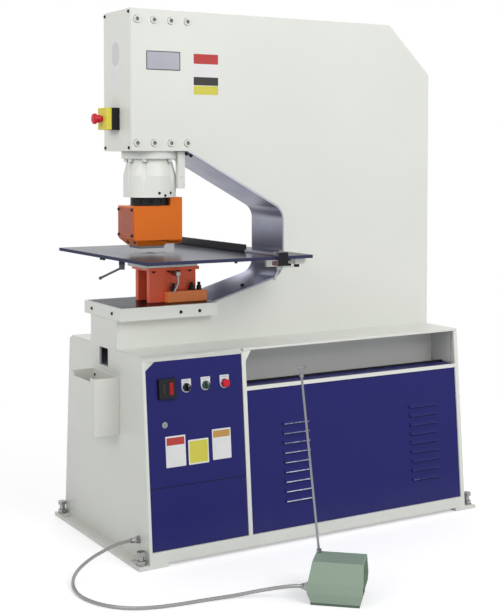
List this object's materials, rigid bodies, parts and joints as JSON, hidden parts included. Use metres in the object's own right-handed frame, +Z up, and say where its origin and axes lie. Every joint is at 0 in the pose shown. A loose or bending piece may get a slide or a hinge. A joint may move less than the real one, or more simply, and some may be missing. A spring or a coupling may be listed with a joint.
{
  "type": "ironworker machine",
  "caption": "C-frame hydraulic punching ironworker with a deep throat, guarded punch, fenced work table, lean-sided base cabinet with control door, and a foot switch on a metal conduit.",
  "frame": {"origin": "centre of the four anchor holes in the foot plates, on the floor", "axes": "+X runs from the operator's end to the back of the machine, +Z is up, and the control door faces -Y"},
  "size_m": [1.753, 1.4469, 1.9301],
  "materials": {
    "ivory_paint": "semi-gloss",
    "bare_steel": "ground",
    "zinc_steel": "satin",
    "orange_paint": "semi-gloss",
    "red_paint": "semi-gloss",
    "blue_paint": "semi-gloss",
    "green_paint": "hammered",
    "black_steel": "blackened",
    "black_plastic": "matte",
    "green_plastic": "matte",
    "red_plastic": "gloss",
    "yellow_plastic": "satin",
    "clear_plastic": "clear"
  },
  "bodies": {
    "machine": {"frame_plates": "ivory_paint", "throat_liner": "bare_steel", "spine_plate": "ivory_paint", "cylinder_block": "bare_steel", "head_cover": "ivory_paint", "black_screws": "black_steel", "frame_bolts": "ivory_paint", "nose_casting": "ivory_paint", "limit_switch_box": "ivory_paint", "guard_ring": "black_steel", "stripper_box": "orange_paint", "guard_window": "clear_plastic", "stripper_plate": "bare_steel", "table_plate": "bare_steel", "table_carrier": "ivory_paint", "table_arms": "ivory_paint", "die_holder": "bare_steel", "die": "zinc_steel", "pedestal": "red_paint", "pedestal_feet": "orange_paint", "bolster_rim": "ivory_paint", "bolster_plate": "bare_steel", "slug_chute": "bare_steel", "cabinet_shell": "ivory_paint", "door_surround": "ivory_paint", "cabinet_lid": "ivory_paint", "side_tray": "ivory_paint", "side_panel": "blue_paint", "lower_panel": "blue_paint", "slug_box": "ivory_paint", "foot_plates": "ivory_paint", "levelling_bolts": "zinc_steel", "estop_base": "black_plastic", "estop_lid": "yellow_plastic", "oil_tank": "blue_paint", "motor": "zinc_steel", "pedal_base": "green_paint", "pedal_hood": "green_paint", "pedal_pole": "zinc_steel", "conduit_fittings": "zinc_steel", "conduit": "zinc_steel"},
    "ram": {"piston_rod": "zinc_steel", "coupling_nut": "zinc_steel", "punch": "zinc_steel"},
    "estop_head": {"estop_button": "red_plastic"},
    "door": {"control_door": "blue_paint", "mains_switch": "black_plastic"},
    "on_key": {"mains_on_button": "black_plastic"},
    "off_key": {"mains_off_button": "red_plastic"},
    "mode_knob": {"mode_selector": "black_plastic"},
    "function_knob": {"function_selector": "green_plastic"},
    "stop_head": {"stop_button": "red_plastic"},
    "lock_barrel": {"door_lock": "zinc_steel"},
    "fence": {"fence_bar": "black_steel", "fence_clamp": "bare_steel"},
    "fence_handle": {"fence_lever": "zinc_steel"},
    "front_handle": {"front_lever": "zinc_steel"},
    "side_handle": {"side_lever": "zinc_steel"},
    "foot_treadle": {"treadle": "zinc_steel"},
    "fan": {"motor_fan": "black_plastic"}
  },
  "joints": [
    {"name": "ram_stroke", "type": "slide", "parent": "machine", "child": "ram", "axis": [0, 0, -1], "range_m": [0, 0.05]},
    {"name": "estop_push", "type": "slide", "parent": "machine", "child": "estop_head", "axis": [1, 0, 0], "range_m": [0, 0.005]},
    {"name": "door_swing", "type": "hinge", "parent": "machine", "child": "door", "pos_m": [-0.318, -0.34956, 0.268], "axis": [0, 0.0841, 0.9965], "range_deg": [0, 110]},
    {"name": "mains_on_push", "type": "slide", "parent": "door", "child": "on_key", "axis": [0, 0.9965, -0.0841], "range_m": [0, 0.003], "stiffness_N_per_m": 800},
    {"name": "mains_off_push", "type": "slide", "parent": "door", "child": "off_key", "axis": [0, 0.9965, -0.0841], "range_m": [0, 0.003], "stiffness_N_per_m": 800},
    {"name": "mode_turn", "type": "hinge", "parent": "door", "child": "mode_knob", "pos_m": [-0.531, -0.33037, 0.602], "axis": [0, 0.9965, -0.0841], "range_deg": [0, 90]},
    {"name": "function_turn", "type": "hinge", "parent": "door", "child": "function_knob", "pos_m": [-0.455, -0.33028, 0.603], "axis": [0, 0.9965, -0.0841], "range_deg": [0, 90]},
    {"name": "stop_push", "type": "slide", "parent": "door", "child": "stop_head", "axis": [0, 0.9965, -0.0841], "range_m": [0, 0.005], "stiffness_N_per_m": 800},
    {"name": "lock_turn", "type": "hinge", "parent": "door", "child": "lock_barrel", "pos_m": [-0.622, -0.34058, 0.481], "axis": [0, -0.9965, 0.0841], "range_deg": [0, 90]},
    {"name": "fence_slide", "type": "slide", "parent": "machine", "child": "fence", "axis": [1, 0, 0], "range_m": [-0.2, 0.1]},
    {"name": "fence_clamp_turn", "type": "hinge", "parent": "fence", "child": "fence_handle", "pos_m": [-0.184, -0.381, 1.015], "axis": [0, 0, 1], "range_deg": [-90, 90]},
    {"name": "front_lever_turn", "type": "hinge", "parent": "machine", "child": "front_handle", "pos_m": [-0.688, -0.141, 1.021], "axis": [0, 0, 1], "range_deg": [-60, 60]},
    {"name": "side_lever_turn", "type": "hinge", "parent": "machine", "child": "side_handle", "pos_m": [-0.446, -0.064, 0.974], "axis": [0, 1, 0], "range_deg": [-60, 60]},
    {"name": "treadle_press", "type": "hinge", "parent": "machine", "child": "foot_treadle", "pos_m": [-0.32447, -0.88178, 0.034], "axis": [0.6717, 0.7408, 0], "range_deg": [0, 12], "stiffness_Nm_per_rad": 20},
    {"name": "fan_spin", "type": "hinge", "parent": "machine", "child": "fan", "pos_m": [0.37, -0.208, 0.5], "axis": [0, 0, 1], "continuous": true}
  ]
}
